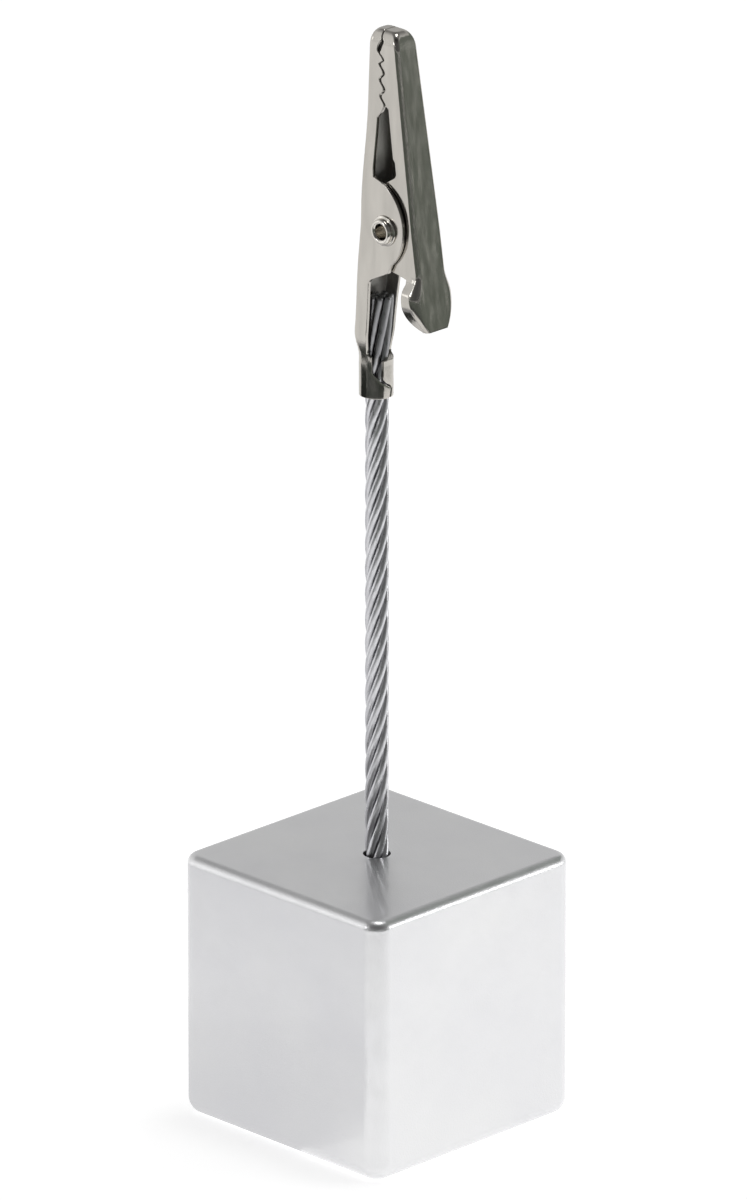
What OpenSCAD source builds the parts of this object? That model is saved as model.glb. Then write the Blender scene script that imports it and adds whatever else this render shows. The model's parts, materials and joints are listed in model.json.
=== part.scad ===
// Place card holder: a rounded metal block, a wire rope stem and a sprung crocodile clip.
// Millimetres, +Z up. The origin is the middle of the block's underside.
// The clip opens in the XZ plane: its fixed jaw lies towards -X and its moving jaw towards +X.

/* [Base block] */
// Side of the square block
base_side = 25; // [18:0.5:40]
// Height of the block
base_height = 25; // [18:0.5:40]
// Radius of the block's upright and lower edges
base_edge_r = 1.8; // [0.6:0.1:4]
// Radius of the block's upper edges
base_top_r = 0.9; // [0.4:0.1:4]
// Depth ground off the underside after its edges were rounded, so that it stands on a crisp flat
base_ground = 0.12; // [0.05:0.01:0.3]
// Depth of the stem's hole in the top face
hole_depth = 13; // [8:0.5:16]
// Radial room round the stem in its hole
hole_room = 0.15; // [0.08:0.01:0.3]
// Depth of the adhesive's upper face below the hole's mouth
bond_recess = 1; // [0.4:0.1:3]

/* [Wire rope stem] */
// Diameter over the outer strands
rope_d = 2.16; // [1.8:0.02:2.4]
// Height in which a strand makes one full turn
rope_lay = 14.2; // [11:0.2:24]
// Room between neighbouring strands
strand_room = 0.03; // [0.02:0.005:0.06]
// Free length of the stem, from the block to the clip
stem_length = 43.5; // [20:0.2:80]
// Length of rope that stands in the clip's tail above the crimp
rope_tail = 6.2; // [3:0.1:7]

/* [Clip body] */
// Thickness of the sheet of both jaws
sheet = 0.32; // [0.26:0.01:0.38]
// Outer radius of the sheet's bends
bend_r = 0.42; // [0.38:0.01:0.6]
// Length of the crimp that holds the rope, at its back
crimp_length = 3.3; // [2.6:0.1:6]
// Length of the crimp at its front seam
crimp_front = 1.7; // [1.2:0.1:2.4]
// Height from the crimp to the pivot
tail_length = 13.2; // [12:0.1:17]
// Angle between the tail and the rope
tail_angle = 5.9; // [5.2:0.05:7]
// Height of the tail's side walls, over the back of the tail
tail_wall = 1.7; // [1.5:0.05:2]
// Width of the tail over its side walls
tail_width = 3.7; // [3.3:0.05:3.8]
// Height of the pivot over the back of the fixed jaw
pivot_rise = 3.18; // [2.9:0.02:3.4]
// Width over the ears that carry the pivot
ear_width = 4.24; // [4:0.02:4.6]
// Radius of the ears' rounded edge
ear_r = 4.4; // [4.2:0.05:4.5]

/* [Jaws] */
// Height from the pivot to the tip of the jaws
jaw_length = 17.9; // [16.5:0.1:22]
// Width of both jaws at the tip
tip_width = 2.5; // [2.3:0.05:2.7]
// Height of the fixed jaw's nose, over its back
nose_height = 1.5; // [1.35:0.01:1.65]
// Radius that rounds the nose of both jaws
nose_r = 1.5; // [1:0.05:1.6]
// Length of the toothed mouth, from the tip to the gap behind the teeth
mouth_length = 6.9; // [6:0.1:8]
// Height of the fixed jaw's side plates along the gap behind the teeth
plate_height = 1.48; // [1.3:0.02:1.6]
// Height of the moving jaw's side plates along the gap behind the teeth
moving_plate_height = 1.85; // [1.6:0.05:2]
// Distance of the moving jaw's back from the pivot
lever_rise = 3.25; // [3.1:0.01:3.5]
// Angle between the moving jaw's back and the stem
jaw_angle = 8.8; // [8:0.1:9.4]
// Distance between teeth
tooth_pitch = 1.48; // [1.2:0.02:1.5]
// Height of a tooth
tooth_depth = 0.48; // [0.3:0.02:0.56]
// Gap between the closed rows of teeth
tooth_gap = 0.12; // [0.08:0.01:0.2]

/* [Thumb lever] */
// Height from the pivot down to the lever's end
lever_length = 8.65; // [8.2:0.05:9.4]
// Width of the thumb pad where it is widest
pad_width = 5; // [4.4:0.02:5.4]
// Width of the thumb pad's end
pad_end_width = 2.8; // [2.2:0.05:3.2]
// Height of the widest place of the pad over its end
pad_crest = 2.85; // [2.2:0.05:3.1]
// Height of the neck of the pad over its end
pad_neck = 5.3; // [4.8:0.1:5.5]
// Height of the lever's side walls at the pad, from its back
pad_wall = 2.4; // [2:0.05:2.5]
// Outer radius of the bends at the pad
pad_bend_r = 0.9; // [0.6:0.05:1.1]
// Room between the ears and the moving jaw's plates
side_room = 0.08; // [0.06:0.01:0.12]

/* [Rivet and spring] */
// Diameter of the hollow rivet's shank
rivet_d = 2.1; // [1.9:0.05:2.2]
// Diameter of the hole through the rivet
rivet_hole = 1.4; // [1.2:0.05:1.65]
// Diameter of the rivet's flat head
rivet_head_d = 2.9; // [2.6:0.05:3.2]
// Thickness of the rivet's flat head
rivet_head = 0.25; // [0.2:0.01:0.4]
// Diameter of the rivet's rolled rim
rivet_rim_d = 2.5; // [2.35:0.05:2.8]
// Height of the rivet's rolled rim
rivet_rim = 0.6; // [0.5:0.05:0.8]
// Radial room of the moving jaw on the rivet
pivot_room = 0.04; // [0.02:0.01:0.08]
// Diameter of the spring's wire
spring_wire = 0.4; // [0.34:0.01:0.42]
// Mean diameter of the spring's coil
spring_d = 3; // [2.9:0.05:3.1]
// Whole turns of the spring's coil, besides the half turn between its legs
spring_turns = 2; // [1:1:2]
// Length of the spring's legs
spring_leg = 4.6; // [3:0.1:5]
// Room between the spring and what it lies beside or leans on
spring_room = 0.06; // [0.04:0.01:0.1]

/* [Hidden] */
$fn = 48;

// Overshoot of the cutting shapes
over = 1;
// Room of the rope in the adhesive and in the crimp
rope_room = 0.03;
// Room of the rope's lower end over the bottom of its hole, and of the adhesive's share of it
hole_end_room = 0.4;
bond_floor = 0.2;

// Heights along the stem
crimp_z = base_height + stem_length;
tail_z = crimp_z + crimp_length;
pivot_z = tail_z + tail_length;
rope_bottom_z = base_height - hole_depth + hole_end_room;
rope_top_z = tail_z + rope_tail;

// Six strands lie round a core strand, each about a third of the rope thick; their slope takes some room
strand_count = 6;
strand_sides = 8;
rings_per_turn = 12;
rope_r = rope_d / 2;
lay_slope = cos(atan(2 * PI * rope_d / 3 / rope_lay));
strand_d = (rope_d * lay_slope - 2 * strand_room) / (2 + lay_slope);
strand_path_r = (rope_d - strand_d) / 2;
core_d = 2 * strand_path_r - strand_d - 2 * strand_room;
hole_d = rope_d + 2 * hole_room;
bond_d = rope_d + 2 * rope_room;

// Round crimp, whose wall is pressed a little thicker than the sheet, its shoulder in the tail, its seam,
// and the tail's channel, which turns round where it meets the crimp
crimp_swell = 0.06;
crimp_shoulder = 0.1;
crimp_bore_r = rope_r + rope_room;
crimp_r = crimp_bore_r + sheet + crimp_swell;
crimp_seam = 0.12;
crimp_seam_angle = 10;
tail_half = tail_width / 2;
tail_round = 3;
tail_low = -tail_length;
crimp_low = tail_low - crimp_length;

// Pivot and the widths that nest at it
back_x = tail_length * tan(tail_angle) - crimp_r;
pivot_x = back_x + pivot_rise;
ear_half = ear_width / 2;
lever_half = ear_half - sheet - side_room;
tip_half = tip_width / 2;
jaw_lean_angle = 1;

// Ears: their arc's middle from the pivot, the heel below it, the foot where they meet the tail's walls,
// and the heights between which they have their full width
ear_back = 2.1;
ear_up = 0.2;
ear_end_angle = -48;
ear_steps = 16;
ear_heel = [0.47, -3.87];
ear_foot = -5.3;
ear_foot_rise = 0.3;
ear_flat = 2;
ear_low = -3;

// Line on which the jaws close, halfway between their backs, and the gap behind the teeth
close_slope = (tan(jaw_angle) - tan(jaw_lean_angle)) / 2;
gap_top = jaw_length - mouth_length;
gap_bottom = ear_up + ear_r;
gap_step = [0.4, 1];
gap_step_rise = 0.5;
gap_corner = 0.5;
gap_corner_in = 0.25;

// Teeth: the first notch lies one pitch below the tip, and a tooth stands a share of the pitch below its notch
tooth_step = 0.55;
tooth_top = jaw_length - tooth_pitch;
tooth_count = floor((tooth_top - gap_top) / tooth_pitch + 1 - tooth_step);

// Moving jaw's plates: waist of the gap, round boss at the rivet and lower edge of the lever's walls
gap_knee = 2.3;
gap_waist = [1.8, 0.4];
gap_waist_in = [0.1, -0.2];
boss_r = 1.75;
boss_steps = 10;
boss_angle = 120;
boss_in = 0.4;
lever_edge = [[0.1, 4.95], [1.1, 4.85]];
lever_corner = 4.55;
pad_arc = 2.2;
pad_arc_steps = 6;

// Back of the fixed jaw and of its tail, as X at a height over the pivot
function fixed_back(a) = back_x + a * tan(a < 0 ? tail_angle : jaw_lean_angle);

// Back of the moving jaw and of its lever
function moving_back(a) = pivot_x + lever_rise / cos(jaw_angle) - a * tan(jaw_angle);

// Closing line of the jaws
function closing(a) = fixed_back(jaw_length) + nose_height + (jaw_length - a) * close_slope;

// Share that rises smoothly from 0 at low to 1 at high
function ease(v, low, high) = v <= low ? 0 : v >= high ? 1 : (1 - cos(180 * (v - low) / (high - low))) / 2;

// Half width of the moving jaw: the pad, the neck, the pivot and the taper to the tip
function pad_half(u) = u < pad_crest
    ? pad_end_width / 2 + (pad_width - pad_end_width) / 2 * sin(90 * u / pad_crest)
    : pad_width / 2 + (lever_half - pad_width / 2) * ease(u, pad_crest, pad_neck);
function moving_half(a) = a < 0
    ? pad_half(a + lever_length)
    : lever_half + (tip_half - lever_half) * a / jaw_length;

// Half width of the fixed jaw: the tail, the ears and the taper that joins the moving jaw's
function tail_half_at(a) = crimp_r + (tail_half - crimp_r) * ease(a, tail_low, tail_low + tail_round);
function fixed_half(a) = a < ear_flat
    ? tail_half_at(a) + (ear_half - tail_half) * ease(a, tail_low + tail_round, ear_low)
    : moving_half(a) + (ear_half - moving_half(ear_flat)) * (1 - ease(a, ear_flat, gap_top));

// How far the rounded nose draws in at a height, and the shares of it at the sides and at the back
nose_side = 0.5;
nose_back = 0.5;
function nose_in(a) = a < jaw_length - nose_r ? 0
    : nose_r - sqrt(max(0, nose_r * nose_r - pow(a - jaw_length + nose_r, 2)));

// Radius of a bend on the outer or inner face, kept under the channel's half width
bend_limit = 0.8;
function bend_radius(half, wall, r) = min(r - wall, bend_limit * half);

// Outer bends of the fixed jaw, which grow towards the round crimp
function fixed_bend(a) = bend_r
    + (bend_limit * crimp_r - bend_r) * (1 - ease(a, tail_low, tail_low + tail_round));

// Outer bends of the moving jaw, which grow at the pad
function pad_share(u) = u < pad_crest ? ease(u, 0, pad_crest) : 1 - ease(u, pad_crest, pad_neck);
function moving_bend(a) = bend_r + (pad_bend_r - bend_r) * (a < 0 ? pad_share(a + lever_length) : 0);

// Outline of a channel across the stem: two open corners and two bends at the back
bend_steps = 4;
function channel_outline(back, open, half, open_half, r) = concat(
    [[open, open_half]],
    [for (i = [bend_steps:-1:0]) [back, half] + r * [1 - cos(90 * i / bend_steps), sin(90 * i / bend_steps) - 1]],
    [for (i = [0:bend_steps]) [back, -half] + r * [1 - cos(90 * i / bend_steps), 1 - sin(90 * i / bend_steps)]],
    [[open, -open_half]]
);

// Solid through outlines at rising heights
module loft(heights, outlines) {
    n = len(outlines[0]);
    last = len(heights) - 1;
    points = [for (k = [0:last]) for (p = outlines[k]) [p[0], p[1], heights[k]]];
    sides = [for (k = [0:last - 1]) for (i = [0:n - 1]) for (half = [0, 1])
        let (a = k * n + i, b = k * n + (i + 1) % n)
        half == 0 ? [a, b + n, b] : [a, a + n, b + n]
    ];
    caps = [[for (i = [0:n - 1]) i], [for (i = [n - 1:-1:0]) last * n + i]];
    polyhedron(points, concat(sides, caps));
}

// Tube along a path, with a flat end at each end
steep = 0.9;
module tube(path, d, sides) {
    last = len(path) - 1;
    points = [for (k = [0:last])
        let (t = path[min(k + 1, last)] - path[max(k - 1, 0)])
        let (side = cross(t, abs(t[1]) > steep * norm(t) ? [1, 0, 0] : [0, 1, 0]))
        let (u = side / norm(side), v = cross(t, u) / norm(t))
        for (i = [0:sides - 1])
            path[k] + d / 2 * (u * cos(360 * i / sides) + v * sin(360 * i / sides))
    ];
    walls = [for (k = [0:last - 1]) for (i = [0:sides - 1]) for (half = [0, 1])
        let (a = k * sides + i, b = k * sides + (i + 1) % sides)
        half == 0 ? [a, b + sides, b] : [a, a + sides, b + sides]
    ];
    caps = [[for (i = [0:sides - 1]) i], [for (i = [sides - 1:-1:0]) last * sides + i]];
    polyhedron(points, concat(walls, caps));
}

// Bar along Z with rounded long edges, about the origin
module rounded_bar(width, depth, r, length) {
    linear_extrude(height = length, center = true) {
        square([width - 2 * r, depth], center = true);
        square([width, depth - 2 * r], center = true);
        for (sx = [-1, 1]) {
            for (sy = [-1, 1]) translate([sx * (width / 2 - r), sy * (depth / 2 - r)]) circle(r = r);
        }
    }
}

// Bar along Z whose edges towards -Y have one radius and those towards +Y another, about the origin
module two_way_bar(width, height, low_r, top_r, length) {
    linear_extrude(height = length, center = true) {
        translate([-width / 2, low_r - height / 2]) square([width, height - low_r - top_r]);
        translate([low_r - width / 2, -height / 2]) square([width - 2 * low_r, height / 2]);
        translate([top_r - width / 2, -over]) square([width - 2 * top_r, height / 2 + over]);
        for (sx = [-1, 1]) {
            translate([sx * (width / 2 - low_r), low_r - height / 2]) circle(r = low_r);
            translate([sx * (width / 2 - top_r), height / 2 - top_r]) circle(r = top_r);
        }
    }
}

// Block with all edges rounded and its underside ground flat, standing on z = 0
module rounded_block(side, height, r, top_r, ground) {
    unground = height + ground;
    translate([0, 0, height / 2]) intersection() {
        rounded_bar(side, side, r, height);
        translate([0, 0, -ground / 2]) rotate([90, 0, 0]) two_way_bar(side, unground, r, top_r, side + over);
        translate([0, 0, -ground / 2]) rotate([90, 0, 90]) two_way_bar(side, unground, r, top_r, side + over);
    }
}

module base_block() {
    color("#d9d9da") difference() {
        rounded_block(base_side, base_height, base_edge_r, base_top_r, base_ground);
        translate([0, 0, base_height - hole_depth]) cylinder(d = hole_d, h = hole_depth + over);
    }
}

// Adhesive that fills the hole round the rope
module stem_bond() {
    bond_height = hole_depth - bond_recess;
    color("#6f7068") translate([0, 0, base_height - hole_depth]) difference() {
        cylinder(d = hole_d, h = bond_height);
        translate([0, 0, bond_floor]) cylinder(d = bond_d, h = bond_height + over);
    }
}

// Middle of the rope at a height: upright, then leaning with the tail
function rope_x(z) = z < tail_z ? 0 : (z - tail_z) * tan(tail_angle);
rope_rings = ceil((rope_top_z - rope_bottom_z) / rope_lay * rings_per_turn);
rope_heights = [for (k = [0:rope_rings]) rope_bottom_z + (rope_top_z - rope_bottom_z) * k / rope_rings];

module rope_core() {
    color("#8f9494") tube([for (z = rope_heights) [rope_x(z), 0, z]], core_d, strand_sides);
}

module rope_strand(number) {
    start = 360 * number / strand_count;
    path = [for (z = rope_heights)
        let (turn = start + 360 * (z - rope_bottom_z) / rope_lay)
        [rope_x(z) + strand_path_r * cos(turn), strand_path_r * sin(turn), z]
    ];
    color("#aeb2b2") tube(path, strand_d, strand_sides);
}

// Heights over the pivot at which the jaws' outlines are taken
nose_steps = 5;
tail_steps = 3;
taper_steps = 4;
pad_steps = 4;
neck_steps = 5;
nose_heights = [for (i = [0:nose_steps]) jaw_length - nose_r * (1 - sin(90 * i / nose_steps))];
fixed_heights = concat(
    [for (i = [0:tail_steps]) tail_low + tail_round * i / tail_steps],
    [for (i = [1:tail_steps]) tail_low + tail_round + (ear_low - tail_low - tail_round) * i / tail_steps],
    [0, ear_flat],
    [for (i = [1:taper_steps]) ear_flat + i * (gap_top - ear_flat) / taper_steps],
    nose_heights
);
moving_heights = concat(
    [for (i = [0:pad_steps]) -lever_length + i * pad_crest / pad_steps],
    [for (i = [1:neck_steps]) -lever_length + pad_crest + i * (pad_neck - pad_crest) / neck_steps],
    [0],
    nose_heights
);

// Channel of the fixed jaw, drawn in by a wall; a wall of 0 is the outer face
module fixed_form(wall) {
    heights = concat([for (a = fixed_heights) if (a < jaw_length - wall) a], [jaw_length - wall]);
    loft(heights, [for (a = heights)
        let (half = fixed_half(a) - nose_side * nose_in(a + wall) - wall)
        channel_outline(
            fixed_back(a) + nose_back * nose_in(a + wall) + wall, pivot_x + ear_r,
            half, half, bend_radius(half, wall, fixed_bend(a))
        )
    ]);
}

// Channel of the moving jaw, mirrored so that its back is at low X
module moving_form(wall) {
    low = wall == 0 ? moving_heights : concat([-lever_length - over], moving_heights);
    heights = concat([for (a = low) if (a < jaw_length - wall) a], [jaw_length - wall]);
    loft(heights, [for (a = heights)
        let (half = moving_half(max(a, -lever_length)) - nose_side * nose_in(a + wall) - wall)
        let (open_half = a < 0 ? lever_half - wall : half)
        channel_outline(
            -moving_back(a) + nose_back * nose_in(a + wall) + wall, -back_x,
            half, open_half, bend_radius(half, wall, moving_bend(a))
        )
    ]);
}

// Row of teeth from the nose down to the gap behind them, on one side of the closing line
function tooth_row(side) = [for (k = [0:tooth_count - 1]) for (step = [0, tooth_step])
    let (a = tooth_top - (k + step) * tooth_pitch)
    [closing(a) + (step == 0 ? -tooth_depth / 2 : tooth_depth / 2) + side * tooth_gap / 2, a]
];

// Side plates of the fixed jaw as X and height: teeth, gap, ear, tail and the crimp's collar
ear_start_angle = acos((plate_height + gap_corner_in - pivot_rise + ear_back) / ear_r);
function ear_point(turn) = [pivot_x - ear_back + ear_r * cos(turn), ear_up + ear_r * sin(turn)];
fixed_plate = concat(
    [[back_x - crimp_r, jaw_length + over], [closing(jaw_length) - tooth_gap / 2, jaw_length + over]],
    tooth_row(-1),
    [
        [fixed_back(gap_top) + plate_height + gap_step_rise, gap_top - gap_step[0]],
        [fixed_back(gap_top) + plate_height, gap_top - gap_step[1]],
        [fixed_back(gap_bottom) + plate_height, gap_bottom + gap_corner]
    ],
    [for (i = [0:ear_steps]) ear_point(ear_start_angle + (ear_end_angle - ear_start_angle) * i / ear_steps)],
    [
        [pivot_x + ear_heel[0], ear_heel[1]],
        [fixed_back(ear_foot) + tail_wall + ear_foot_rise, ear_foot + ear_foot_rise],
        [fixed_back(ear_foot) + tail_wall, ear_foot],
        [fixed_back(tail_low) + tail_wall, tail_low - crimp_shoulder],
        [crimp_r, crimp_low + crimp_front],
        [crimp_r + over, crimp_low + crimp_front],
        [crimp_r + over, crimp_low - over],
        [fixed_back(tail_low) - crimp_r, crimp_low - over]
    ]
);

// Side plates of the moving jaw as X and height: teeth, gap, boss round the rivet and lever
function boss_point(turn) = [pivot_x + boss_r * cos(turn), boss_r * sin(turn)];
lever_low = -lever_length;
lever_wall_x = moving_back(lever_low) - pad_wall;
moving_plate = concat(
    [[pivot_x + 3 * lever_rise, jaw_length + over], [closing(jaw_length) + tooth_gap / 2, jaw_length + over]],
    tooth_row(1),
    [
        [moving_back(gap_top) - moving_plate_height, gap_top],
        [moving_back(gap_top - gap_knee) - moving_plate_height, gap_top - gap_knee]
    ],
    [for (i = [0, 1])
        let (a = gap_bottom + gap_waist[i])
        [moving_back(a) - moving_plate_height + gap_waist_in[i], a]
    ],
    [[pivot_x - boss_in, gap_bottom - boss_in]],
    [for (i = [0:boss_steps]) boss_point(boss_angle + boss_angle * i / boss_steps)],
    [for (p = lever_edge) [pivot_x + p[0], lever_low + p[1]]],
    [[lever_wall_x, lever_low + lever_corner]],
    [for (i = [0:pad_arc_steps])
        let (turn = 90 * i / pad_arc_steps)
        [moving_back(lever_low) - pad_wall * cos(turn), lever_low + pad_arc * (1 - sin(turn))]
    ],
    [[moving_back(lever_low) + over, lever_low - over], [pivot_x + 3 * lever_rise, lever_low - over]]
);

// Plate outline drawn through both side plates
module side_profile(points) {
    rotate([90, 0, 0]) linear_extrude(height = 2 * pad_width, center = true) polygon(points);
}

// Straight hole across the jaws on the pivot
module pivot_hole(d) {
    translate([pivot_x, 0, 0]) rotate([90, 0, 0]) cylinder(d = d, h = 2 * pad_width, center = true);
}

// Room for the rope through the crimp, and the seam between the crimp's two wings
module crimp_bore() {
    bore_length = crimp_length + over;
    translate([0, 0, crimp_low - over]) {
        cylinder(r = crimp_bore_r, h = bore_length + rope_room);
        rotate([0, 0, -crimp_seam_angle]) translate([0, -crimp_seam / 2, 0])
            cube([2 * crimp_r, crimp_seam, bore_length]);
    }
}

module fixed_jaw() {
    color("#c4c0b8") translate([0, 0, pivot_z]) difference() {
        intersection() {
            difference() {
                union() {
                    fixed_form(0);
                    translate([0, 0, crimp_low]) cylinder(r = crimp_r, h = crimp_length + crimp_shoulder);
                }
                fixed_form(sheet);
            }
            side_profile(fixed_plate);
        }
        crimp_bore();
        pivot_hole(rivet_d);
    }
}

module moving_jaw() {
    color("#8f938c") translate([0, 0, pivot_z]) difference() {
        intersection() {
            mirror([1, 0, 0]) difference() {
                moving_form(0);
                moving_form(sheet);
            }
            side_profile(moving_plate);
        }
        pivot_hole(rivet_d + 2 * pivot_room);
    }
}

// Hollow rivet: a flat head towards +Y and a rolled rim towards -Y, clinched on the ears
module pivot_rivet() {
    hole_r = rivet_hole / 2;
    rim_w = rivet_rim_d / 2 - hole_r;
    rim_flat = rivet_rim - rim_w / 2;
    color("#cdc8bf") translate([pivot_x, 0, pivot_z]) rotate([90, 0, 0]) rotate_extrude() {
        translate([hole_r, -ear_half - rivet_head]) square([rivet_d / 2 - hole_r, ear_width + rivet_head]);
        translate([hole_r, -ear_half - rivet_head]) square([rivet_head_d / 2 - hole_r, rivet_head]);
        translate([hole_r, ear_half]) square([rim_w, rim_flat]);
        translate([hole_r + rim_w / 2, ear_half + rim_flat]) intersection() {
            circle(d = rim_w);
            translate([-rim_w, 0]) square([2 * rim_w, rivet_rim]);
        }
    }
}

// Torsion spring round the rivet: one leg on the tail's back, one on the lever's back
spring_sides = 6;
rings_per_curl = 8;
leg_seat = spring_wire / 2 + spring_room;
spring_half = lever_half - sheet - spring_room - spring_wire / 2;
function leg_angle(x) = atan((x - spring_d / 2 * cos(asin(x / (spring_leg + spring_d)))) / spring_leg);
fixed_leg_angle = leg_angle(pivot_x - fixed_back(-spring_leg) - sheet - leg_seat);
moving_leg_angle = leg_angle(moving_back(-spring_leg) - sheet - leg_seat - pivot_x);
coil_start = 180 - fixed_leg_angle;
coil_turn = 360 * spring_turns + coil_start - moving_leg_angle;
coil_rings = ceil(rings_per_curl * coil_turn / 360);
function coil_point(k) =
    let (turn = coil_start - coil_turn * k / coil_rings)
    [spring_d / 2 * cos(turn), -spring_half + 2 * spring_half * k / coil_rings, spring_d / 2 * sin(turn)];
coil_path = [for (k = [0:coil_rings]) coil_point(k)];
spring_path = concat(
    [coil_path[0] - spring_leg * [sin(fixed_leg_angle), 0, cos(fixed_leg_angle)]],
    coil_path,
    [coil_path[coil_rings] + spring_leg * [sin(moving_leg_angle), 0, -cos(moving_leg_angle)]]
);

// Least gap of the coil to itself, measured on its points half a curl or more apart
coil_gap = min([for (i = [0:coil_rings]) for (j = [i + rings_per_curl / 2:1:coil_rings])
    norm(coil_path[i] - coil_path[j])
]) - spring_wire;
echo(least_spring_gap = coil_gap);

module jaw_spring() {
    color("#8a8d8f") translate([pivot_x, 0, pivot_z]) tube(spring_path, spring_wire, spring_sides);
}

base_block();
stem_bond();
rope_core();
for (number = [1:strand_count]) {
    rope_strand(number);
}
fixed_jaw();
moving_jaw();
pivot_rivet();
jaw_spring();
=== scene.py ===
"""Looks of the place card holder: its pieces, materials, studio and camera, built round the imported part."""

import json
import math

import bmesh
import bpy
from mathutils import Matrix, Vector
from mathutils.bvhtree import BVHTree


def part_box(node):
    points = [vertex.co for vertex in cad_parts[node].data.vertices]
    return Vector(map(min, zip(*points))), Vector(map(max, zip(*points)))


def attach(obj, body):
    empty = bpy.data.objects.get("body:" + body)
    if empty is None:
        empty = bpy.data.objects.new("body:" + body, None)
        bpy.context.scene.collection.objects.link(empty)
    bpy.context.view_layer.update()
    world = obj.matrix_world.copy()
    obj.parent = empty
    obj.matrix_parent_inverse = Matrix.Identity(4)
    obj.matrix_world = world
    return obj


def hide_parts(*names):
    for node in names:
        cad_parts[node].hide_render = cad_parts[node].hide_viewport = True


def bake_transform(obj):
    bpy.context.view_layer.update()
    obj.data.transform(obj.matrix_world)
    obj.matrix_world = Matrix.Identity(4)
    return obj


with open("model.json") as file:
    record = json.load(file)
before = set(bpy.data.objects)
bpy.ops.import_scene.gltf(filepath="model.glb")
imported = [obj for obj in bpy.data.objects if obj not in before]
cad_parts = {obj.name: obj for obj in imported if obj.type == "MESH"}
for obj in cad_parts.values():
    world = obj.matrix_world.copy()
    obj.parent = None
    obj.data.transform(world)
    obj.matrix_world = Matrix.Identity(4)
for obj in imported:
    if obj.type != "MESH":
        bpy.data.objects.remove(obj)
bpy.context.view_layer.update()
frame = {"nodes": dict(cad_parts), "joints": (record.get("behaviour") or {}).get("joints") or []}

# Sizes are in millimetres and angles in degrees, unless a comment says otherwise
MM = 0.001


def box_mm(node):
    """Lower and upper corner of a CAD node's box."""
    low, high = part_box(node)
    return Vector(low) / MM, Vector(high) / MM


joint_points = {joint["name"]: Vector(joint["pos_m"]) / MM for joint in frame["joints"]}
block_low, block_high = box_mm("base_block")
rope_low, rope_high = box_mm("rope_core")
jaw_low, jaw_high = box_mm("fixed_jaw")

# Round forms turned on an axis
ROUND_SIDES = 48

# Block, with its drilled hole
BLOCK_SIDE = block_high.x - block_low.x
BLOCK_HEIGHT = block_high.z
BLOCK_EDGE = 1.8
BLOCK_TOP_EDGE = 0.9
BLOCK_LOW_EDGE = 1.6
BLOCK_EDGE_STEPS = 10
HOLE_R = 1.23
HOLE_DEPTH = 13
HOLE_CHAMFER = 0.08
OVERCUT = 1

# Wire rope: strands round a core, with wires on the outside of each; its lay is longer in the clip's tail
STRANDS = 6
ROPE_BOTTOM = rope_low.z
ROPE_TOP = rope_high.z
ROPE_LAY = 14.2
TAIL_LAY = 40
STRAND_PATH_R = 0.735
STRAND_R = 0.345
STRAND_STEP = 0.25
WIRES = 6
WIRE_TURN_PER_MM = -60
# Depths of the points on one wire, from its ridge through the groove beside it
WIRE_GROOVE = (0, 0.0025, 0.008, 0.0025)
# Rounded end of a strand, as pairs of a depth below its top and the share of its radius there
STRAND_END = ((0.28, 1), (0.16, 0.93), (0.06, 0.75), (0, 0.45))
# Painted shade on the wire in the clip's tail: the share of its brightness that the wire keeps there, and
# half the height over which it darkens
TAIL_SHADE_SHARE = 0.5
TAIL_SHADE_REACH = 1

# Clip: heights are over the pivot, and X runs from the fixed jaw to the moving one
PIVOT = joint_points["jaw_open"]
SHEET = 0.32
EDGE_BEVEL = 0.08
BEND_THICKENING = 1.4
BEND_R = 0.42
BEND_LIMIT = 0.8
JAW_LENGTH = jaw_high.z - PIVOT.z
CRIMP_LOW = jaw_low.z - PIVOT.z
CRIMP_R = 1.49
TAIL_LENGTH = 13.2
TAIL_ANGLE = 5.9
TAIL_WALL = 1.7
TAIL_HALF = 1.85
TAIL_ROUND = 3
PIVOT_RISE = 3.18
BACK_X = PIVOT.x - PIVOT_RISE
JAW_LEAN = 1
JAW_ANGLE = 8.8
LEVER_RISE = 3.25
NOSE_HEIGHT = 1.5
NOSE_R = 1.5
NOSE_SIDE = 0.5
NOSE_BACK = 0.5
TIP_HALF = 1.25

# Teeth and the gap behind them
MOUTH_LENGTH = 6.9
GAP_TOP = JAW_LENGTH - MOUTH_LENGTH
TOOTH_PITCH = 1.48
TOOTH_DEPTH = 0.48
TOOTH_GAP = 0.17
NOSE_GAP = 0.06
TOOTH_STEP = 0.55
TOOTH_COUNT = 4
TOOTH_ROWS = 6
# First tooth, as heights over its notch with the fixed and the moving edge's distance from the closing line
FIRST_TOOTH = (
    (0.95, -0.03, 0.03), (0.75, 0, 0.12), (0.58, -0.01, 0.27), (0.4, -0.16, 0.24), (0.27, -0.26, 0.17),
    (0.1, -0.35, 0.09), (-0.05, -0.4, 0.02), (-0.27, -0.46, -0.07), (-0.4, -0.45, -0.17),
    (-0.52, -0.34, -0.22), (-0.73, -0.13, 0), (-0.95, 0.1, 0.22), (-1.09, 0.19, 0.3),
    (-1.2, 0.13, 0.24), (-1.35, -0.1, 0.03)
)
PLATE_HEIGHT = 1.48
MOVING_PLATE_HEIGHT = 1.85
# Fixed jaw's edge at the gap's top, as pairs of a depth below it and a rise over the plate's height
GAP_STEPS = ((0.4, 0.5), (1, 0), (1.1, 0))
# Fixed jaw's edge at the gap's bottom: where the plate ends, and the corner above the ear
GAP_SHOULDER = 0.9
GAP_CORNER = 0.6
GAP_CORNER_DROP = 0.1
# Moving jaw's edge along the gap, as pairs of a height over the pivot and a step inwards
MOVING_STEPS = ((GAP_TOP, 0), (8.7, 0), (6.6, 0), (6.3, 0.2), (5.2, 0.2), (4.9, 0))

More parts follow.
